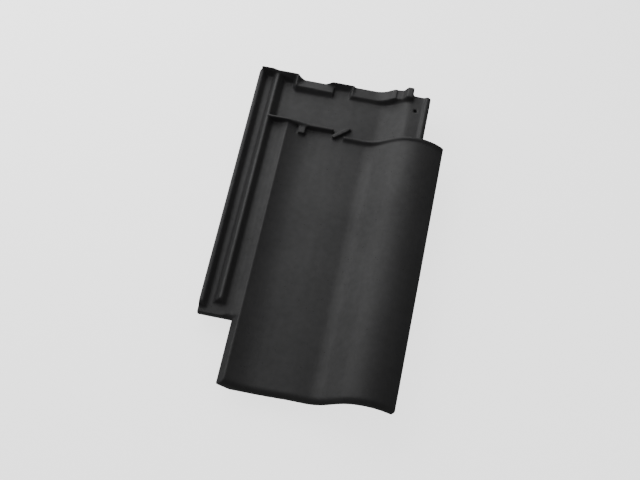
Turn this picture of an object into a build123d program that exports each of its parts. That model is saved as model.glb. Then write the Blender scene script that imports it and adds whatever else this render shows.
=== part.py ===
from build123d import *
import os
from math import acos, asin, cos, degrees, radians, sin, tan

# A clay roof tile of the interlocking pantile kind, pressed and fired in one piece.
# X runs across the tile, Y runs up the slope to the head, and Z is up off the face.
# The origin is under the middle of the tile, on the plane that its nibs and foot rib rest on.
# In the sections, x is measured from the outer edge of the side lock, y from the foot,
# and z from the face of the flat pan.

# Overall size
tile_length = 445.0
tile_width = 260.0
rest_depth = 22.0

# Pan and roll, with the roll's crest measured from the right edge
pan_wall = 11.3
crest_inset = 36.0
crest_height = 36.0
crest_radius = 48.0
crest_wall = 12.0
crest_inner_radius = 50.0
flank_angle = 40.0
valley_radius = 30.0
valley_inner_radius = 41.3
pan_swell = 2.8
swell_setback = 16.0
roll_edge_height = 11.5
roll_edge_run = 11.0
nose_radius = 7.0
roll_edge_radius = 2.2

# Left side of the pan
body_left = 44.0
body_left_height = -1.0
body_left_chamfer = 16.0
ridge_x = 53.0
ridge_height = 10.0
ridge_slope_radius = 66.0
ridge_radius = 1.4

# Head lap, where the tile above lies
lap_length = 78.0
lap_cutback = 28.0
lap_wall = 10.5
lap_crest_inset = 23.5
lap_crest_height = 24.5
lap_crest_radius = 14.0
lap_valley_radius = 27.0
lap_flank_angle = 36.0
lap_edge_rib_width = 9.0
lap_edge_rib_height = 3.0
lap_edge_rib_top = 2.0
lap_edge_setback = 7.0
shoulder_wall = 9.0
head_corner_radius = 6.0

# Side lock, where the roll of the next tile lies
notch_length = 86.0
lock_floor = 3.0
lock_wall = 10.0
outer_rib_height = 12.5
outer_rib_top = 5.0
outer_rib_setback = 9.0
middle_rib_x = 26.0
middle_rib_height = 13.0
middle_rib_top = 3.4
middle_rib_setback = 17.0
rib_end_run = 4.0
rib_draft = 0.56
outer_draft = 0.6
rib_round = 1.2
channel_round = 3.0
lock_rise_run = 10.5
lock_rise_drop = 1.0
lock_rise_radius = 10.0
lock_nose_radius = 6.0

# Second head rib, at the start of the weathered face
second_rib_lead = 5.0
second_rib_top = 3.0
second_rib_slope = 5.5
second_rib_side_height = 15.0
second_rib_pan_height = 9.0
second_rib_fall_start = 56.0
second_rib_fall_end = 82.0
rib_fall_radius = 15.0
roll_rib_thickness = 4.0
roll_rib_height = 8.0
roll_rib_growth = 2.6
roll_rib_hollow = 45.0
roll_rib_flank = 38.0
rib_gap = 14.0

# Tab and baffle beside the gap in the second rib
tab_x = 68.8
tab_width = 9.4
tab_length = 12.0
tab_height = 8.0
baffle_length = 24.0
baffle_width = 4.2
baffle_height = 8.0
baffle_angle = 40.0
baffle_lead = 0.8
baffle_lap = 2.2

# Head rib along the top edge
head_wall = 1.8
head_wall_slope = 5.5
corner_wall_height = 19.0
corner_wall_end = 19.0
corner_ramp = 7.0
side_wall_height = 16.2
side_wall_end = 51.5
middle_wall_width = 27.0
middle_wall_height = 12.0
middle_wall_offset = 22.0
wall_ramp = 10.0
platform_depth = 15.0
platform_height = 10.3
platform_end_height = 8.0
platform_back_height = 3.5
cheek_top = 2.0
cheek_draft = 4.5
cheek_ramp = 8.0
cheek_drop = 5.5
second_platform_height = 8.2
shelf_lead = 22.5
shelf_height = 22.0
shelf_radius = 6.0
shelf_hollow = 30.0
shelf_drop = 1.2
knob_lead = 13.5
knob_width = 8.0
knob_height = 32.5

# Nail hole
nail_hole_diameter = 4.5
nail_hole_inset = 17.4
nail_hole_setback = 30.2

# Underside
nib_width = 34.0
nib_depth = 14.0
nib_setback = 34.0
left_nib_x = 70.0
right_nib_inset = 95.0
nib_lean = 3.0
nib_edge_radius = 1.6
foot_rib_y = 22.0
foot_rib_width = 8.0
cover_rib_width = 6.0
inner_cover_rib_inset = 31.0
inner_cover_rib_depth = 7.0
outer_cover_rib_inset = 9.0
outer_cover_rib_depth = 6.5
cover_rib_start = 30.0

# How deep an added piece is sunk into the slab, so that the two fuse
buried = 3.0

# Places along the tile that follow from the sizes above
body_length = tile_length - lap_length
second_rib_y = body_length + second_rib_lead
body_left_end = second_rib_y + second_rib_top
roll_rib_y = body_length - roll_rib_thickness
baffle_y = second_rib_y + baffle_lead
nib_front = tile_length - nib_setback - nib_depth / 2
nail_hole_y = tile_length - nail_hole_setback

# Places across the tile
slope_angle = degrees(acos(1 - ridge_height / ridge_slope_radius))
pan_left = ridge_x + ridge_slope_radius * sin(radians(slope_angle))
body_under_left = body_left + body_left_chamfer
crest_x = tile_width - crest_inset
lap_right = tile_width - lap_cutback
lap_crest_x = lap_right - lap_crest_inset
flank_top_x = crest_x - crest_radius * sin(radians(flank_angle))
flank_rise = crest_height - pan_swell - crest_radius * (1 - cos(radians(flank_angle)))
flank_foot_x = flank_top_x - flank_rise / tan(radians(flank_angle))
pan_right = flank_foot_x - valley_radius * tan(radians(flank_angle / 2))
pan_middle = (pan_left + pan_right) / 2
second_rib_end = pan_middle - rib_gap / 2
roll_rib_start = pan_middle + rib_gap / 2
baffle_x = roll_rib_start - baffle_lap
middle_wall_start = pan_middle - middle_wall_offset
middle_wall_end = middle_wall_start + middle_wall_width
first_platform_start = side_wall_end
first_platform_end = middle_wall_start + buried
second_platform_start = middle_wall_end
shelf_x = lap_crest_x - shelf_lead
knob_start = lap_crest_x - knob_lead
knob_top_start = lap_crest_x - knob_width
nail_hole_x = lap_right - nail_hole_inset

# Height of the lock's underside
lock_under = lock_floor - lock_wall


def section(y):
    """Plane across the tile at y from the foot: its own x and y are the tile's x and z."""
    return Plane(origin=(-tile_width / 2, y - tile_length / 2, rest_depth), x_dir=(1, 0, 0), z_dir=(0, -1, 0))


def side(x):
    """Plane along the tile at x: its own x and y are the tile's y and z."""
    return Plane(origin=(x - tile_width / 2, -tile_length / 2, rest_depth), x_dir=(0, 1, 0), z_dir=(1, 0, 0))


def plan(z):
    """Level plane at height z over the pan."""
    return Plane(origin=(-tile_width / 2, -tile_length / 2, z + rest_depth), x_dir=(1, 0, 0), z_dir=(0, 0, 1))


def wave(left, right, level, rise, radius, hollow, slope, centre, swell=0.0):
    """Draw a level line that turns up through a hollow and a flank into a crest, and end it at right."""
    crest_centre = level + rise - radius
    top = (centre - radius * sin(radians(slope)), crest_centre + radius * cos(radians(slope)))
    flank_foot = top[0] - (top[1] - level - swell) / tan(radians(slope))
    foot = (flank_foot - hollow * tan(radians(slope / 2)), level + swell)
    if swell > 0:
        if left < pan_left:
            Line((left, level), (pan_left, level))
        swell_end = (pan_right - swell_setback, level + swell)
        Spline((pan_left, level), swell_end, tangents=[(1, 0), (1, 0)])
        level_line = Line(swell_end, foot)
    else:
        level_line = Line((left, level), foot)
    hollow_arc = JernArc(start=level_line @ 1, tangent=(1, 0), radius=hollow, arc_size=slope)
    flank = Line(hollow_arc @ 1, top)
    fall = degrees(asin((right - centre) / radius))
    crest = JernArc(start=flank @ 1, tangent=flank % 1, radius=radius, arc_size=-(slope + fall))
    return crest @ 1


def face_wave(left, right, lift=0.0, swell=0.0):
    """The weathered face of the pan and roll, lifted by a height."""
    return wave(left, right, lift, crest_height, crest_radius, valley_radius, flank_angle, crest_x, swell)


def under_wave(left, right, drop=0.0, swell=0.0):
    """The underside of the pan and roll, dropped by a depth."""
    rise = pan_wall + crest_height - crest_wall
    return wave(
        left,
        right,
        -pan_wall - drop,
        rise,
        crest_inner_radius,
        valley_inner_radius,
        flank_angle,
        crest_x,
        swell,
    )


def lap_wave(left, lift=0.0, swell=0.0):
    """The face of the head lap up to its crest, lifted by a height."""
    return wave(
        left,
        lap_crest_x,
        lift,
        lap_crest_height,
        lap_crest_radius,
        lap_valley_radius,
        lap_flank_angle,
        lap_crest_x,
        swell,
    )


def lock_face(floor_end):
    """Outer edge, outer rib, first channel and middle rib of the side lock, as corners with their radii."""
    outer_top = outer_draft + outer_rib_top
    outer_foot = outer_top + (outer_rib_height - lock_floor) * rib_draft
    rib_left = middle_rib_x - middle_rib_top / 2
    rib_right = middle_rib_x + middle_rib_top / 2
    rise = middle_rib_height - lock_floor
    return [
        ((rib_round, lock_under), rib_round),
        ((0, lock_under + rib_round), rib_round),
        ((outer_draft, outer_rib_height), rib_round),
        ((outer_top, outer_rib_height), rib_round),
        ((outer_foot, lock_floor), channel_round),
        ((rib_left - rise * rib_draft, lock_floor), channel_round),
        ((rib_left, middle_rib_height), rib_round),
        ((rib_right, middle_rib_height), rib_round),
        ((rib_right + (middle_rib_height - floor_end) * rib_draft, floor_end), channel_round),
    ]


# Weathered body: left slope, pan and roll in one section, with a rounded nose at the foot
with BuildPart() as body:
    with BuildSketch(section(body_left_end)):
        with BuildLine():
            Line((body_left, body_left_height), (ridge_x, ridge_height))
            JernArc(
                start=(ridge_x, ridge_height),
                tangent=(cos(radians(slope_angle)), -sin(radians(slope_angle))),
                radius=ridge_slope_radius,
                arc_size=slope_angle,
            )
            crest_end = face_wave(pan_left, tile_width, 0, pan_swell)
            Line(crest_end, (tile_width, roll_edge_height))
            under_end = under_wave(body_under_left, tile_width - roll_edge_run, 0, pan_swell)
            Line(under_end, (tile_width, roll_edge_height))
            Line((body_under_left, -pan_wall), (body_left, body_left_height))
        make_face()
    extrude(amount=body_left_end)
    upper_faces = body.faces().filter_by(lambda face: face.normal_at().Z > cos(radians(flank_angle + 10)))
    foot_y = -tile_length / 2
    nose = upper_faces.edges().filter_by_position(Axis.Y, foot_y - 0.01, foot_y + 0.01)
    fillet(nose, radius=nose_radius)
    ridge_at = ridge_x - tile_width / 2
    ridge = body.edges().filter_by(Axis.Y).filter_by_position(Axis.X, ridge_at - 0.01, ridge_at + 0.01)
    fillet(ridge, radius=ridge_radius)
    right_at = tile_width / 2
    roll_edges = body.edges().filter_by(Axis.Y).filter_by_position(Axis.X, right_at - 0.01, right_at + 0.01)
    fillet(roll_edges, radius=roll_edge_radius)
    with BuildSketch(plan(-rest_depth)):
        with Locations((roll_rib_start, body_length)):
            Rectangle(tile_width, lap_length, align=(Align.MIN, Align.MIN))
    extrude(amount=2 * rest_depth + crest_height, mode=Mode.SUBTRACT)

# Shoulder that closes the roll at its head end, down to the head lap
with BuildPart() as shoulder:
    with BuildSketch(section(body_length)):
        with BuildLine():
            shoulder_top = face_wave(roll_rib_start, lap_right)
            shoulder_foot = lap_wave(roll_rib_start, -lap_wall)
            Polyline(shoulder_foot, (lap_right, lap_crest_height - lap_wall), shoulder_top)
            Line((roll_rib_start, -lap_wall), (roll_rib_start, 0))
        make_face()
    extrude(amount=shoulder_wall)

# Head lap with the upper stretch of the side lock
with BuildPart() as head_lap:
    lap_start = body_length - shoulder_wall
    with BuildSketch(section(tile_length)):
        with BuildLine():
            corners = lock_face(0)
            FilletPolyline(
                (middle_rib_x, lock_under),
                *[point for point, radius in corners],
                (pan_left, 0),
                radius=[radius for point, radius in corners],
            )
            lap_crest = lap_wave(pan_left, 0, pan_swell)
            edge_side = (lap_edge_rib_width - lap_edge_rib_top) / 2
            edge_top = lap_crest_height + lap_edge_rib_height
            edge_foot = lap_crest_height - lap_wall
            FilletPolyline(
                lap_crest,
                (lap_right - lap_edge_rib_width, lap_crest_height),
                (lap_right - edge_side - lap_edge_rib_top, edge_top),
                (lap_right - edge_side, edge_top),
                (lap_right, lap_crest_height),
                (lap_right, edge_foot),
                radius=[rib_round, rib_round, rib_round, rib_round],
            )
            lap_under = lap_wave(body_left, -lap_wall, pan_swell)
            Line(lap_under, (lap_right, edge_foot))
            Line((middle_rib_x, lock_under), (body_left, -lap_wall))
        make_face()
    extrude(amount=tile_length - lap_start)
    with BuildSketch(plan(-rest_depth)):
        with Locations((lap_crest_x, tile_length - lap_edge_setback)):
            Rectangle(lap_length, lap_edge_setback, align=(Align.MIN, Align.MIN))
    extrude(amount=2 * rest_depth + crest_height, mode=Mode.SUBTRACT)
    with BuildSketch(plan(0)):
        with Locations((nail_hole_x, nail_hole_y)):
            Circle(nail_hole_diameter / 2)
    extrude(amount=crest_height, mode=Mode.SUBTRACT)

# Side lock beside the weathered body, with its two channels
with BuildPart() as side_lock:
    with BuildSketch(section(body_left_end)):
        with BuildLine():
            corners = lock_face(lock_floor)
            FilletPolyline(
                (ridge_x, lock_under),
                *[point for point, radius in corners],
                (ridge_x - lock_rise_run, lock_floor),
                (ridge_x, ridge_height - lock_rise_drop),
                radius=[*[radius for point, radius in corners], lock_rise_radius],
            )
            Line((ridge_x, ridge_height - lock_rise_drop), (ridge_x, lock_under))
        make_face()
    extrude(amount=body_left_end - notch_length)
    rib_spans = (
        (-buried, outer_rib_height, outer_rib_setback),
        (outer_rib_height, ridge_x - lock_rise_run, middle_rib_setback),
    )
    for left, right, setback in rib_spans:
        with BuildSketch(side(left)):
            end_foot = notch_length + setback - rib_end_run / 2
            Polygon(
                (0, lock_floor),
                (end_foot, lock_floor),
                (end_foot + rib_end_run, middle_rib_height),
                (end_foot + rib_end_run, 2 * middle_rib_height),
                (0, 2 * middle_rib_height),
                align=None,
            )
        extrude(amount=right - left, mode=Mode.SUBTRACT)
    lock_end = notch_length - tile_length / 2
    end_edges = side_lock.edges().filter_by_position(Axis.Y, lock_end - 0.01, lock_end + 0.01)
    fillet(end_edges.group_by(Axis.Z)[-1], radius=lock_nose_radius)

# Second head rib over the side lock and pan, upright to the foot and sloped to the head
with BuildPart() as second_rib:
    with BuildSketch(section(body_left_end)):
        with BuildLine():
            rib_crest = FilletPolyline(
                (middle_rib_x, second_rib_side_height),
                (second_rib_fall_start, second_rib_side_height),
                (second_rib_fall_end, second_rib_pan_height),
                (second_rib_end, second_rib_pan_height),
                radius=[rib_fall_radius, rib_fall_radius],
            )
            Polyline(rib_crest @ 1, (second_rib_end, -buried), (middle_rib_x, -buried), rib_crest @ 0)
        make_face()
    extrude(amount=second_rib_top)
    rib_end = second_rib.edges().filter_by(Axis.Z).sort_by(Axis.X)[-2:]
    fillet(rib_end, radius=0.45 * second_rib_top)

with BuildPart() as second_rib_back:
    for y, share in ((body_left_end - second_rib_top / 2, 1), (body_left_end + second_rib_slope, 0)):
        side_top = second_rib_side_height * share - rib_round
        pan_top = second_rib_pan_height * share - rib_round
        with BuildSketch(section(y)):
            Polygon(
                (middle_rib_x, -buried),
                (middle_rib_x, side_top),
                (second_rib_fall_start, side_top),
                (second_rib_fall_end, pan_top),
                (second_rib_end - second_rib_top, pan_top),
                (second_rib_end - second_rib_top, -buried),
                align=None,
            )
    loft(ruled=True)

# Tab on the foot side of the second rib
with BuildPart() as tab:
    with BuildSketch(plan(-buried)):
        with Locations((tab_x, second_rib_y - tab_length)):
            Rectangle(tab_width, tab_length + second_rib_top, align=(Align.MIN, Align.MIN))
        fillet(vertices().sort_by(Axis.Y)[:2], radius=rib_round)
    extrude(amount=buried + tab_height)
    fillet(tab.faces().sort_by(Axis.Z)[-1].edges().sort_by(Axis.Y)[:-1], radius=rib_round / 2)

# Baffle that crosses the gap between the two stretches of the second rib
with BuildPart() as baffle:
    with BuildSketch(plan(-buried)):
        with Locations((baffle_x, baffle_y)):
            SlotOverall(baffle_length, baffle_width, rotation=baffle_angle)
    extrude(amount=buried + baffle_height)
    fillet(baffle.faces().sort_by(Axis.Z)[-1].edges(), radius=0.45 * baffle_width)

# Stretch of the second rib that follows the roll to its right edge
with BuildPart() as roll_rib:
    with BuildSketch(section(body_length)):
        with BuildLine():
            roll_rib_top = wave(
                roll_rib_start,
                tile_width,
                roll_rib_height,
                crest_height + roll_rib_growth - roll_rib_height,
                crest_radius + roll_rib_growth,
                roll_rib_hollow,
                roll_rib_flank,
                crest_x,
            )
            roll_rib_foot = face_wave(roll_rib_start, tile_width, -buried)
            Line(roll_rib_top, roll_rib_foot)
            Line((roll_rib_start, -buried), (roll_rib_start, roll_rib_height))
        make_face()
    extrude(amount=roll_rib_thickness)
    rib_faces = roll_rib.faces().filter_by(lambda face: face.normal_at().Z > cos(radians(flank_angle + 10)))
    foot_side = roll_rib_y - tile_length / 2
    foot_edges = rib_faces.edges().filter_by_position(Axis.Y, foot_side - 0.01, foot_side + 0.01)
    fillet(foot_edges, radius=rib_round)

# Wall along the head edge, tallest over the side lock, with a narrow top and a sloping front
with BuildPart() as head_rib:
    wall_front = tile_length - head_wall
    for y, share in ((tile_length, 1), (wall_front, 1), (wall_front - head_wall_slope, 0)):
        with BuildSketch(section(y)):
            Polygon(
                (outer_draft, -buried),
                (outer_draft, corner_wall_height * share),
                (corner_wall_end, corner_wall_height * share),
                (corner_wall_end + corner_ramp, side_wall_height * share),
                (side_wall_end, side_wall_height * share),
                (side_wall_end + wall_ramp, platform_back_height * share),
                (middle_wall_start - wall_ramp, platform_back_height * share),
                (middle_wall_start, middle_wall_height * share),
                (middle_wall_end, middle_wall_height * share),
                (middle_wall_end + wall_ramp, platform_back_height * share),
                (middle_wall_end + wall_ramp, -buried),
                align=None,
            )
    loft(ruled=True)
    top_edges = head_rib.edges().filter_by_position(Axis.Y, tile_length / 2 - 0.01, tile_length / 2 + 0.01)
    fillet(top_edges.filter_by_position(Axis.Z, rest_depth, 2 * rest_depth), radius=0.45 * head_wall)

# First platform of the head rib, with its top sloped to the head
with BuildPart() as first_platform:
    platform_front = tile_length - platform_depth
    ends = ((first_platform_start, platform_height), (first_platform_end, platform_end_height))
    for x, height in ends:
        with BuildSketch(side(x)):
            Polygon(
                (platform_front, -buried),
                (platform_front, height),
                (tile_length, platform_back_height),
                (tile_length, -buried),
                align=None,
            )
    loft(ruled=True)

# Cheeks that close the left ends of the two platforms
with BuildPart() as first_cheek:
    for y, height in ((tile_length, side_wall_height), (platform_front, side_wall_height - cheek_drop)):
        with BuildSketch(section(y)):
            Polygon(
                (side_wall_end - cheek_draft, -buried),
                (side_wall_end, height),
                (side_wall_end + cheek_top, height),
                (side_wall_end + cheek_top + cheek_ramp, -buried),
                align=None,
            )
    loft(ruled=True)

with BuildPart() as second_cheek:
    for y, height in ((tile_length, middle_wall_height), (platform_front, second_platform_height)):
        with BuildSketch(section(y)):
            Polygon(
                (second_platform_start - cheek_draft, -buried),
                (second_platform_start, height),
                (second_platform_start + cheek_top, height),
                (second_platform_start + cheek_top + cheek_ramp, -buried),
                align=None,
            )
    loft(ruled=True)

# Second platform, which climbs the roll to a shelf and a knob
with BuildPart() as second_platform:
    with BuildSketch(section(tile_length)):
        with BuildLine():
            shelf = wave(
                second_platform_start,
                shelf_x,
                second_platform_height,
                shelf_height - second_platform_height,
                shelf_radius,
                shelf_hollow,
                flank_angle,
                shelf_x,
            )
            FilletPolyline(
                shelf,
                (shelf_x + shelf_drop / 2, shelf_height - shelf_drop),
                (knob_start, shelf_height + shelf_drop / 2),
                (knob_top_start, knob_height),
                (lap_crest_x, knob_height),
                (lap_crest_x, lap_crest_height - buried),
                radius=[shelf_drop / 3, rib_round, rib_round, rib_round],
            )
            lap_wave(second_platform_start, -buried)
            Line((second_platform_start, -buried), (second_platform_start, second_platform_height))
        make_face()
    extrude(amount=platform_depth)

# Nibs that hook over the batten, upright to the foot and sloped on their other sides
with BuildPart() as nibs:
    nib_back = nib_front + nib_depth
    for x in (left_nib_x, tile_width - right_nib_inset):
        with BuildSketch(side(x - nib_width / 2)):
            Polygon(
                (nib_front, -buried),
                (nib_front, -rest_depth),
                (nib_back - nib_lean, -rest_depth),
                (nib_back, -buried),
                align=None,
            )
        extrude(amount=nib_width)
    buried_edges = nibs.faces().filter_by(Axis.Z).group_by(Axis.Z)[-1].edges()
    fillet(nibs.edges() - buried_edges, radius=nib_edge_radius)

# Rib under the foot, which drops behind the head rib of the tile below
with BuildPart() as foot_rib:
    with BuildSketch(section(foot_rib_y + foot_rib_width / 2)):
        with BuildLine():
            rib_left = body_under_left + foot_rib_width / 2
            rib_right = tile_width - roll_edge_run
            lower = under_wave(rib_left, rib_right, rest_depth - pan_wall)
            upper = under_wave(rib_left, rib_right, -buried)
            Line(lower, upper)
            Line((rib_left, -rest_depth), (rib_left, buried - pan_wall))
        make_face()
    extrude(amount=foot_rib_width)

# Cover ribs under the right edge of the roll, which hang in the channels of the next tile
with BuildPart() as cover_ribs:
    for inset, depth in (
        (inner_cover_rib_inset, inner_cover_rib_depth),
        (outer_cover_rib_inset, outer_cover_rib_depth),
    ):
        with BuildSketch(section(body_length - shoulder_wall / 2)):
            with Locations((tile_width - inset, depth)):
                Rectangle(cover_rib_width, crest_height - crest_wall - depth, align=(Align.CENTER, Align.MIN))
        extrude(amount=body_length - shoulder_wall / 2 - cover_rib_start)

# The whole tile, fused into one solid
with BuildPart() as clay_roof_tile:
    add(body.part)
    add(shoulder.part)
    add(head_lap.part)
    add(side_lock.part)
    add(second_rib.part)
    add(second_rib_back.part)
    add(tab.part)
    add(baffle.part)
    add(roll_rib.part)
    add(head_rib.part)
    add(first_platform.part)
    add(first_cheek.part)
    add(second_cheek.part)
    add(second_platform.part)
    add(nibs.part)
    add(foot_rib.part)
    add(cover_ribs.part)
    with BuildSketch(plan(-rest_depth)):
        with Locations((0, tile_length)):
            Rectangle(head_corner_radius, head_corner_radius, align=(Align.MIN, Align.MAX))
        with Locations((head_corner_radius, tile_length - head_corner_radius)):
            Circle(head_corner_radius, mode=Mode.SUBTRACT)
    extrude(amount=2 * rest_depth + crest_height, mode=Mode.SUBTRACT)

os.makedirs("parts", exist_ok=True)
clay_roof_tile.part.label = "clay_roof_tile"
export_step(clay_roof_tile.part, "parts/clay_roof_tile.step")
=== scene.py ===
# %% [markdown]
# # A clay roof tile
# An interlocking tile is pressed from one slab of clay, sprayed with a black slip called engobe,
# and fired once. Its solid comes in as a fixed frame, at its real size. This lesson softens its
# edges as the press and the kiln leave them, gives it the fired skin, and sets up a floor, soft
# lamps and a camera.

# %% Load the tile's solid
import math

import bpy
from mathutils import Matrix, Vector


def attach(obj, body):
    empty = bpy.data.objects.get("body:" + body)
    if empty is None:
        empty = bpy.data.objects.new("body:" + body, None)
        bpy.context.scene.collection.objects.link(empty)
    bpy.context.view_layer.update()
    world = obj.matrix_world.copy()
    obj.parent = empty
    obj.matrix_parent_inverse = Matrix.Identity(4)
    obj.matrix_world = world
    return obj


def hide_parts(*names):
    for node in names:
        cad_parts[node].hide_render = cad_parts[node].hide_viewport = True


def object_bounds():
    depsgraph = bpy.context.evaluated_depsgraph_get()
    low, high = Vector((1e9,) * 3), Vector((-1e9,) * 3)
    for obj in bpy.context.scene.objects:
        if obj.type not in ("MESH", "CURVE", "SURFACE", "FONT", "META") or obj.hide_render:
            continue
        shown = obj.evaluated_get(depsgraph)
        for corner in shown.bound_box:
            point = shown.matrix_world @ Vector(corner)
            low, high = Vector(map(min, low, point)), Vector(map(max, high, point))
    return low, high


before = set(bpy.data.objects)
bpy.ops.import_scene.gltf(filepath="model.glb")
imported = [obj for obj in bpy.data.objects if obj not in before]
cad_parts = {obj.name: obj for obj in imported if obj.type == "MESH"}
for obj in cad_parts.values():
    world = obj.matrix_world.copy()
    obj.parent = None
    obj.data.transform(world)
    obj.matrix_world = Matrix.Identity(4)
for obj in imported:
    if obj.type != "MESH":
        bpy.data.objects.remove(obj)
cad_box = [list(corner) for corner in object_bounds()]
low, high = (Vector(corner) for corner in cad_box)
MM = 0.001
tile_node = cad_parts["clay_roof_tile"]
print("tile, in mm:", [round(side / MM, 1) for side in high - low])

# %% [markdown]
# ## Camera
# The photo looks down on the tile from its foot and a little from its left, through a lens about
# twice as long as its sensor is wide. Three turns take the tile's own axes to the camera's: one
# about the line of sight, one for the tilt and one for the lean. The turns, the distance and the
# lens were found by laying the tile's outline over the photo's.

# %% The camera of the photo
image_width = 640
focal_in_pixels = 1308.2
sensor_width = 36.0
line_of_sight_turn = math.radians(-12.725)
tilt = math.radians(-26.533)
lean = math.radians(-3.834)
distance = 1653.9 * MM
slide_x = 3.137 * MM
slide_y = 6.302 * MM
face_height = 22.0 * MM

to_camera = (
    Matrix.Rotation(line_of_sight_turn, 3, "Z")
    @ Matrix.Rotation(tilt, 3, "X")
    @ Matrix.Rotation(lean, 3, "Y")
)
to_world = to_camera.transposed()
camera_place = -(to_world @ Vector((slide_x, slide_y, -distance))) + Vector((0, 0, face_height))

bpy.ops.object.camera_add(location=camera_place, rotation=to_world.to_euler())
camera = bpy.context.object
camera.data.sensor_width = sensor_width
camera.data.lens = focal_in_pixels * sensor_width / image_width
camera.data.clip_end = 20
bpy.context.scene.camera = camera
print("camera at, in mm:", [round(value / MM) for value in camera_place])
print("lens, in mm:", round(camera.data.lens, 1))

# %% [markdown]
# ## The pressed body
# The frame's solid has crisp edges, but clay that leaves a plaster mould and shrinks in a kiln
# has none: every corner and every foot of a rib is round. A bevel would only round the outer
# corners, and it finds no clean edges in a mesh of thousands of thin triangles. So a copy of the
# solid is merged into one skin, remeshed in even cells and relaxed a little: that rounds inner
# and outer corners alike. Flat stretches need few faces, so the last step thins them out.

# %% Helpers to pick an object and to apply a modifier
def pick(piece):
    """Make one object the only selected one, and the active one."""
    bpy.ops.object.select_all(action="DESELECT")
    piece.select_set(True)
    bpy.context.view_layer.objects.active = piece


def apply_modifier(piece, kind, **settings):
    """Add a modifier with its settings and apply it at once."""
    modifier = piece.modifiers.new(kind.lower(), kind)
    for name, value in settings.items():
        setattr(modifier, name, value)
    pick(piece)
    bpy.ops.object.modifier_apply(modifier=modifier.name)


# %% A merged copy of the solid
merge_distance = 0.005 * MM
tile = bpy.data.objects.new("pressed_tile", tile_node.data.copy())
bpy.context.scene.collection.objects.link(tile)
pick(tile)
bpy.ops.object.mode_set(mode="EDIT")
bpy.ops.mesh.select_all(action="SELECT")
bpy.ops.mesh.remove_doubles(threshold=merge_distance)
bpy.ops.mesh.normals_make_consistent(inside=False)
bpy.ops.object.mode_set(mode="OBJECT")
print("merged copy:", len(tile.data.vertices), "points")

# %% [markdown]
# ### Fronts that lean
# Clay leaves its mould only where upright faces lean a little. In the photo the fronts of the
# head platforms and of the lap's ribs are broad dark bands, so here they lean more than the
# solid's. The foot line of each front slides along the face that it stands on. This is a change
# of shape in the looks alone: the platforms' fronts reach up to 3 mm into the space that the
# solid keeps free for the tile above. The middle rib's outer slope is lengthened in the same way,
# but only by so much that the channel beside it stays clear.

# %% Helpers that pick points and move them
to_corner = Vector((130.0, 222.5, 0))


def measured(point):
    """A point's place from the tile's outer left foot corner, in millimetres."""
    return point / MM + to_corner


def slide(name, chosen, by):
    """Select the points that the test picks, and move them by a length in millimetres."""
    pick(tile)
    bpy.ops.object.mode_set(mode="EDIT")
    bpy.ops.mesh.select_mode(type="VERT")
    bpy.ops.mesh.select_all(action="DESELECT")
    bpy.ops.object.mode_set(mode="OBJECT")
    for vertex in tile.data.vertices:
        vertex.select = chosen(vertex.co)
    count = sum(vertex.select for vertex in tile.data.vertices)
    bpy.ops.object.mode_set(mode="EDIT")
    bpy.ops.transform.translate(value=Vector(by) * MM)
    bpy.ops.object.mode_set(mode="OBJECT")
    print(name, "moved", count, "points by", by, "mm")


# %% Tests for the points to move
down = Vector((0, 0, -1))
look_from = 200 * MM
before_front = 2
same_height = 0.7 * MM


def foot_line(x_from, x_to, y_from, y_to):
    """A test for the points where an upright front meets the face it stands on.

    The height of that face is found by looking down on the solid a little before the front.
    """
    def chosen(point):
        place = measured(point)
        if not (x_from < place.x < x_to and y_from < place.y < y_to):
            return False
        above = Vector((point.x, (y_from - before_front - to_corner.y) * MM, look_from))
        struck, spot, _, _ = tile_node.ray_cast(above, down)
        return struck and abs(spot.z - point.z) < same_height
    return chosen


def rib_foot(point):
    """A test for the outer foot of the side lock's middle rib."""
    place = measured(point)
    return 16 < place.x < 20.5 and 98 < place.y < 430 and 24 < place.z < 28


# %% Points moved one by one
slide("first platform", foot_line(50, 108, 429, 431), (0, -4.5, 0))
slide("second platform", foot_line(122, 217, 429, 431), (0, -3.0, 0))
slide("roll rib", foot_line(126, 205, 361.5, 364.5), (0, -2.4, 0))
slide("roll rib end", foot_line(205, 235, 361.5, 364.5), (0, -1.2, 0))
slide("second rib", foot_line(58, 117, 370, 373), (0, -1.5, 0))
slide("middle rib", rib_foot, (-1.4, 0, 0))

# %% [markdown]
# ### Trimmed corners and a thicker baffle
# The foot's roll corner is blunt on the real tile, so a turned box cuts it off. A second box
# takes the last sliver from the head's outer corner, which the solid has rounded already. The
# baffle is a thick bar with round ends: a box and two posts are laid over the solid's thinner
# one, and the remesh below welds them on.

# %% Helpers that make a box and a post
def at(x, y, z):
    """A place measured from the tile's outer left foot corner, in millimetres."""
    return Vector((x - to_corner.x, y - to_corner.y, z)) * MM


def box(name, middle, sides, turn):
    """A box with its place in its mesh: its middle, its sides in mm and its turn in degrees.

    With no window the rotate operator turns the other way, so the turn is given a minus.
    """
    bpy.ops.object.select_all(action="DESELECT")
    bpy.ops.mesh.primitive_cube_add(size=1)
    piece = bpy.context.object
    piece.name = name
    bpy.ops.object.mode_set(mode="EDIT")
    bpy.ops.mesh.select_all(action="SELECT")
    bpy.ops.transform.resize(value=[side * MM for side in sides], center_override=(0, 0, 0))
    bpy.ops.transform.rotate(
        value=-math.radians(turn), orient_axis="Z", center_override=(0, 0, 0)
    )
    bpy.ops.transform.translate(value=middle)
    bpy.ops.object.mode_set(mode="OBJECT")
    return piece


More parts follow.
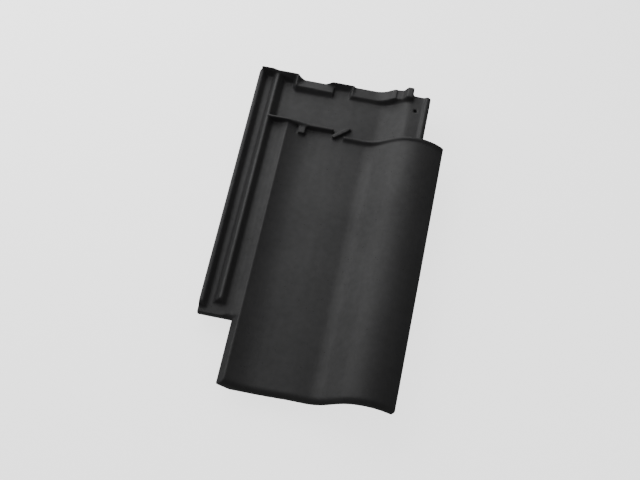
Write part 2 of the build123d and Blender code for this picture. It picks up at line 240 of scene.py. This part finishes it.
def post(name, middle, radius, depth):
    """An upright cylinder with its place in its mesh: its radius and its depth in mm."""
    bpy.ops.object.select_all(action="DESELECT")
    bpy.ops.mesh.primitive_cylinder_add(vertices=32, radius=radius * MM, depth=depth * MM)
    piece = bpy.context.object
    piece.name = name
    bpy.ops.object.mode_set(mode="EDIT")
    bpy.ops.mesh.select_all(action="SELECT")
    bpy.ops.transform.translate(value=middle)
    bpy.ops.object.mode_set(mode="OBJECT")
    return piece


# %% Corners cut off
corner_cut = (20, 5.5, 80)
cutters = [
    box("head corner cut", at(0, 445, 30), corner_cut, 45),
    box("foot corner cut", at(260, 0, 30), corner_cut, 45),
]
for cutter in cutters:
    apply_modifier(tile, "BOOLEAN", operation="DIFFERENCE", solver="EXACT", object=cutter)
    bpy.data.objects.remove(cutter)
print("trimmed copy:", len(tile.data.polygons), "faces")

# %% A baffle with round ends
bar_x, bar_y, bar_z = 124, 371, 27
end_x, end_y = 7.3, 6.1
bar_length, bar_thickness, bar_depth = 19, 5.6, 6
bars = [
    box("baffle bar", at(bar_x, bar_y, bar_z), (bar_length, bar_thickness, bar_depth), 40),
    post("baffle end a", at(bar_x - end_x, bar_y - end_y, bar_z), bar_thickness / 2, bar_depth),
    post("baffle end b", at(bar_x + end_x, bar_y + end_y, bar_z), bar_thickness / 2, bar_depth),
]
pick(tile)
for bar in bars:
    bar.select_set(True)
bpy.ops.object.join()
print("with its bars:", len(tile.data.polygons), "faces")

# %% [markdown]
# ### One soft skin
# The remesh wraps everything in even cells of a millimetre, and a few relaxing steps round
# every corner.

# %% Soft corners
cell = 1.0 * MM
relax_steps = 7
relax_factor = 0.5
apply_modifier(tile, "REMESH", mode="VOXEL", voxel_size=cell, use_smooth_shade=True)
apply_modifier(tile, "SMOOTH", factor=relax_factor, iterations=relax_steps)
print("remeshed and relaxed:", len(tile.data.polygons), "faces")

# %% [markdown]
# ### Waves of the press
# A wide face of pressed clay is never a true plane. Broad waves, a quarter of a millimetre deep
# at most, make the sheen wander a little. They only reach inwards, so the tile gets no larger.

# %% Shallow waves of the press
wave_depth = 0.25 * MM
wave_length = 45 * MM
waves = bpy.data.textures.new("press waves", "CLOUDS")
waves.noise_scale = wave_length
waves.noise_depth = 1
apply_modifier(
    tile, "DISPLACE", texture=waves, texture_coords="LOCAL", strength=wave_depth, mid_level=1.0
)
print("waves, in mm:", wave_depth / MM, "deep at most and about", wave_length / MM, "wide")

# %% Fewer faces where it is flat
face_limit = 180000
triangles = 2 * len(tile.data.polygons)
apply_modifier(tile, "DECIMATE", ratio=min(1.0, face_limit / triangles))
bpy.ops.object.shade_smooth()
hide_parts("clay_roof_tile")
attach(tile, "root")
print("finished skin:", len(tile.data.polygons), "faces")

# %% [markdown]
# ## Helpers for the finish
# Each effect of the finish is a node group of its own, built once, with named inputs. A group
# gives out only values that change over the surface: a height, a tone or a mask. Most of what a
# noise gives lies near its middle, so that stretch is spread out to run from none to all.

# %% Building node groups
noise_middle = (0.35, 0.65)


def new_group(name, inputs, outputs):
    """Start a shader node group: inputs and outputs are (name, default) pairs of numbers."""
    group = bpy.data.node_groups.new(name, "ShaderNodeTree")
    for label, value in inputs:
        socket = group.interface.new_socket(
            name=label, in_out="INPUT", socket_type="NodeSocketFloat"
        )
        socket.default_value = value
    for label in outputs:
        group.interface.new_socket(name=label, in_out="OUTPUT", socket_type="NodeSocketFloat")
    entry = group.nodes.new("NodeGroupInput")
    leave = group.nodes.new("NodeGroupOutput")
    return group, entry, leave


def noise(tree, place, scale, detail, roughness=0.5):
    """A noise texture on the tile's own coordinates. Its scale is a socket or a number."""
    texture = tree.nodes.new("ShaderNodeTexNoise")
    if isinstance(scale, bpy.types.NodeSocket):
        tree.links.new(scale, texture.inputs["Scale"])
    else:
        texture.inputs["Scale"].default_value = scale
    texture.inputs["Detail"].default_value = detail
    texture.inputs["Roughness"].default_value = roughness
    tree.links.new(place, texture.inputs["Vector"])
    return texture.outputs["Fac"]


def combine(tree, operation, first, second):
    """A math node, whose two inputs are sockets or numbers."""
    node = tree.nodes.new("ShaderNodeMath")
    node.operation = operation
    for socket, value in zip(node.inputs, (first, second)):
        if isinstance(value, bpy.types.NodeSocket):
            tree.links.new(value, socket)
        else:
            socket.default_value = value
    return node.outputs[0]


def band(tree, value, low_in, high_in, low_out, high_out):
    """Map a value from one range to another, and clamp it."""
    node = tree.nodes.new("ShaderNodeMapRange")
    tree.links.new(value, node.inputs["Value"])
    node.inputs["From Min"].default_value = low_in
    node.inputs["From Max"].default_value = high_in
    node.inputs["To Min"].default_value = low_out
    node.inputs["To Max"].default_value = high_out
    return node.outputs["Result"]


# %% [markdown]
# ### Grain of the sprayed slip
# Engobe goes on as a fine mist, so the fired skin has a grain of about half a millimetre, a
# coarser one of two to three, and a few pin holes. Two noises and a cell pattern make the height.

# %% Grain group
grain, entry, leave = new_group(
    "slip grain",
    [("Fine Scale", 1700), ("Coarse Scale", 420), ("Pit Scale", 260)],
    ["Height", "Pits"],
)
place = grain.nodes.new("ShaderNodeTexCoord").outputs["Object"]
fine = noise(grain, place, entry.outputs["Fine Scale"], 3, 0.6)
coarse = noise(grain, place, entry.outputs["Coarse Scale"], 2)
cells = grain.nodes.new("ShaderNodeTexVoronoi")
grain.links.new(place, cells.inputs["Vector"])
grain.links.new(entry.outputs["Pit Scale"], cells.inputs["Scale"])
pit_edge = (0.10, 0.22)
holes = band(grain, cells.outputs["Distance"], *pit_edge, 1, 0)
few_places = (0.60, 0.68)
rare = band(grain, noise(grain, place, 90, 1), *few_places, 0, 1)
pits = combine(grain, "MULTIPLY", holes, rare)
fine_share = combine(grain, "MULTIPLY", fine, 0.6)
coarse_share = combine(grain, "MULTIPLY", coarse, 0.4)
height = combine(grain, "ADD", fine_share, coarse_share)
grain.links.new(combine(grain, "SUBTRACT", height, pits), leave.inputs["Height"])
grain.links.new(pits, leave.inputs["Pits"])
print(grain.name, "has", len(grain.nodes), "nodes")

# %% [markdown]
# ### Uneven tone
# A spray bar lays more slip in some places than in others, and the kiln's draught fires one
# stretch paler than the next. Broad clouds, and streaks drawn out along the tile in the way
# that it passes under the spray, give the tone. A value of a half is the plain tone.

# %% Tone group
tone, entry, leave = new_group(
    "uneven tone", [("Cloud Scale", 14), ("Streak Scale", 60)], ["Tone"]
)
place = tone.nodes.new("ShaderNodeTexCoord").outputs["Object"]
clouds = noise(tone, place, entry.outputs["Cloud Scale"], 3, 0.55)
drawn_out = tone.nodes.new("ShaderNodeMapping")
drawn_out.inputs["Scale"].default_value = (1, 0.08, 1)
tone.links.new(place, drawn_out.inputs["Vector"])
streaks = noise(tone, drawn_out.outputs["Vector"], entry.outputs["Streak Scale"], 2)
mottle = noise(tone, place, 130, 2)
cloud_share = combine(tone, "MULTIPLY", clouds, 0.5)
streak_share = combine(tone, "MULTIPLY", streaks, 0.2)
mottle_share = combine(tone, "MULTIPLY", mottle, 0.3)
broad = combine(tone, "ADD", cloud_share, streak_share)
tone.links.new(combine(tone, "ADD", broad, mottle_share), leave.inputs["Tone"])
print(tone.name, "has", len(tone.nodes), "nodes")

# %% [markdown]
# ### Rubbed edges and dusty hollows
# Tiles are stacked and slid on each other, so rib crests and outer edges lose a little of their
# skin and turn paler, and pale dust stays in the inner corners. A wide bevel normal differs from
# the true one only near an edge, outer and inner alike, and that difference is the mask. A noise
# breaks it up, since wear is never even.

# %% Edge group
edges, entry, leave = new_group(
    "rubbed edges", [("Radius", 2.5 * MM), ("Patch Scale", 55)], ["Mask"]
)
place = edges.nodes.new("ShaderNodeTexCoord").outputs["Object"]
rounded = edges.nodes.new("ShaderNodeBevel")
rounded.samples = 6
edges.links.new(entry.outputs["Radius"], rounded.inputs["Radius"])
surface = edges.nodes.new("ShaderNodeNewGeometry")
same = edges.nodes.new("ShaderNodeVectorMath")
same.operation = "DOT_PRODUCT"
edges.links.new(rounded.outputs["Normal"], same.inputs[0])
edges.links.new(surface.outputs["Normal"], same.inputs[1])
edge_bend = (0.995, 0.90)
near_edge = band(edges, same.outputs["Value"], *edge_bend, 0, 1)
patches = noise(edges, place, entry.outputs["Patch Scale"], 3, 0.6)
least_wear = 0.2
worn = band(edges, patches, *noise_middle, least_wear, 1)
edges.links.new(combine(edges, "MULTIPLY", near_edge, worn), leave.inputs["Mask"])
print(edges.name, "has", len(edges.nodes), "nodes")

# %% [markdown]
# ## The fired skin
# The skin is a neutral black engobe with a satin sheen. Its plain colour is a very dark grey.
# Tone moves it a little paler or darker, rubbed edges are paler and smoother, pits are darker
# and duller. The underside isn't seen in the photo: a thinner, duller and browner slip there is
# a guess.

# %% The skin's shader and helpers
skin = bpy.data.materials.new("black engobe")
skin.use_nodes = True
tree = skin.node_tree
shader = tree.nodes["Principled BSDF"]
shader.inputs["Specular IOR Level"].default_value = 0.5


def use_group(group):
    """Put a group into the skin."""
    node = tree.nodes.new("ShaderNodeGroup")
    node.node_tree = group
    return node.outputs


def mix_colour(factor, first, second):
    """Blend two colours, given as sockets or as red, green and blue."""
    node = tree.nodes.new("ShaderNodeMix")
    node.data_type = "RGBA"
    tree.links.new(factor, node.inputs["Factor"])
    for label, value in (("A", first), ("B", second)):
        socket = next(s for s in node.inputs if s.name == label and s.type == "RGBA")
        if isinstance(value, bpy.types.NodeSocket):
            tree.links.new(value, socket)
        else:
            socket.default_value = (*value, 1)
    return next(s for s in node.outputs if s.type == "RGBA")


tones = use_group(tone)["Tone"]
grains = use_group(grain)
rubbed = use_group(edges)["Mask"]
print("groups in the skin:", [node.node_tree.name for node in tree.nodes if node.type == "GROUP"])

# %% Colour of the skin
dark_skin = (0.031, 0.031, 0.032)
pale_skin = (0.046, 0.046, 0.047)
rubbed_skin = (0.085, 0.083, 0.080)
bare_skin = (0.050, 0.044, 0.040)
pit_skin = (0.02, 0.02, 0.02)
plain = mix_colour(band(tree, tones, *noise_middle, 0, 1), dark_skin, pale_skin)
facing = tree.nodes.new("ShaderNodeNewGeometry")
apart = tree.nodes.new("ShaderNodeSeparateXYZ")
tree.links.new(facing.outputs["Normal"], apart.inputs["Vector"])
looks_down = (-0.25, -0.75)
most_bare = 0.7
under = band(tree, apart.outputs["Z"], *looks_down, 0, most_bare)
plain = mix_colour(under, plain, bare_skin)
most_rubbed = 0.35
plain = mix_colour(combine(tree, "MULTIPLY", rubbed, most_rubbed), plain, rubbed_skin)
pitted = mix_colour(grains["Pits"], plain, pit_skin)
tree.links.new(pitted, shader.inputs["Base Color"])
print("skin, from dark to pale:", dark_skin, pale_skin)

# %% Sheen and relief of the skin
dull_sheen, bright_sheen = 0.62, 0.54
sheen = band(tree, tones, *noise_middle, dull_sheen, bright_sheen)
sheen = combine(tree, "SUBTRACT", sheen, combine(tree, "MULTIPLY", rubbed, 0.08))
sheen = combine(tree, "ADD", sheen, combine(tree, "MULTIPLY", grains["Pits"], 0.2))
sheen = combine(tree, "ADD", sheen, combine(tree, "MULTIPLY", under, 0.15))
tree.links.new(sheen, shader.inputs["Roughness"])

bump = tree.nodes.new("ShaderNodeBump")
bump.inputs["Strength"].default_value = 0.55
bump.inputs["Distance"].default_value = 0.12 * MM
tree.links.new(grains["Height"], bump.inputs["Height"])
tree.links.new(bump.outputs["Normal"], shader.inputs["Normal"])
for piece in (tile, tile_node):
    piece.data.materials.clear()
    piece.data.materials.append(skin)
print(skin.name, "has", len(tree.nodes), "nodes")

# %% [markdown]
# ## Floor and studio
# The tile lies on a plain white table that glows. In the photo the tile's front stays dark, so
# the table is hidden from bounced light and from reflections, which a real one isn't. One very
# large soft lamp stands close to the tile's head and left. It makes the tone fall from head to
# foot, and keeps the shadows of the ribs soft. A small one at the left lifts the faces that look
# that way, and the world adds a low even light.

# %% Floor
bpy.ops.object.select_all(action="DESELECT")
bpy.ops.mesh.primitive_plane_add(size=12, location=(0, 0, low.z))
floor = bpy.context.object
floor.name = "floor"
paper = bpy.data.materials.new("white table")
paper.use_nodes = True
table_glow = 2.0
white = paper.node_tree.nodes["Principled BSDF"]
white.inputs["Base Color"].default_value = (0.85, 0.85, 0.85, 1)
white.inputs["Roughness"].default_value = 0.9
white.inputs["Emission Color"].default_value = (1, 1, 1, 1)
white.inputs["Emission Strength"].default_value = table_glow
floor.data.materials.append(paper)
floor.visible_diffuse = False
floor.visible_glossy = False
print("floor at, in mm:", round(low.z / MM, 2))

# %% Lamps and sky
def soft_lamp(name, turn, rise, reach, wide, tall, power):
    """A rectangular soft lamp that faces the tile, with its turn and rise in degrees.

    Its reach, width and height are in metres and its power in watts.
    """
    away = Vector((
        math.cos(math.radians(rise)) * math.cos(math.radians(turn)),
        math.cos(math.radians(rise)) * math.sin(math.radians(turn)),
        math.sin(math.radians(rise)),
    ))
    bpy.ops.object.light_add(type="AREA", location=away * reach)
    lamp = bpy.context.object
    lamp.name = name
    lamp.rotation_euler = away.to_track_quat("Z", "Y").to_euler()
    lamp.data.shape = "RECTANGLE"
    lamp.data.size = wide
    lamp.data.size_y = tall
    lamp.data.energy = power
    print(name, "at, in mm:", [round(value / MM) for value in away * reach])


soft_lamp("key lamp", 132, 36, 0.70, 1.0, 0.85, 4.35)
soft_lamp("left lamp", 168, 22, 0.9, 0.6, 0.4, 0.5)
sky_strength = 0.2
world = bpy.data.worlds.new("studio")
bpy.context.scene.world = world
world.use_nodes = True
sky = world.node_tree.nodes["Background"]
sky.inputs["Color"].default_value = (1, 1, 1, 1)
sky.inputs["Strength"].default_value = sky_strength
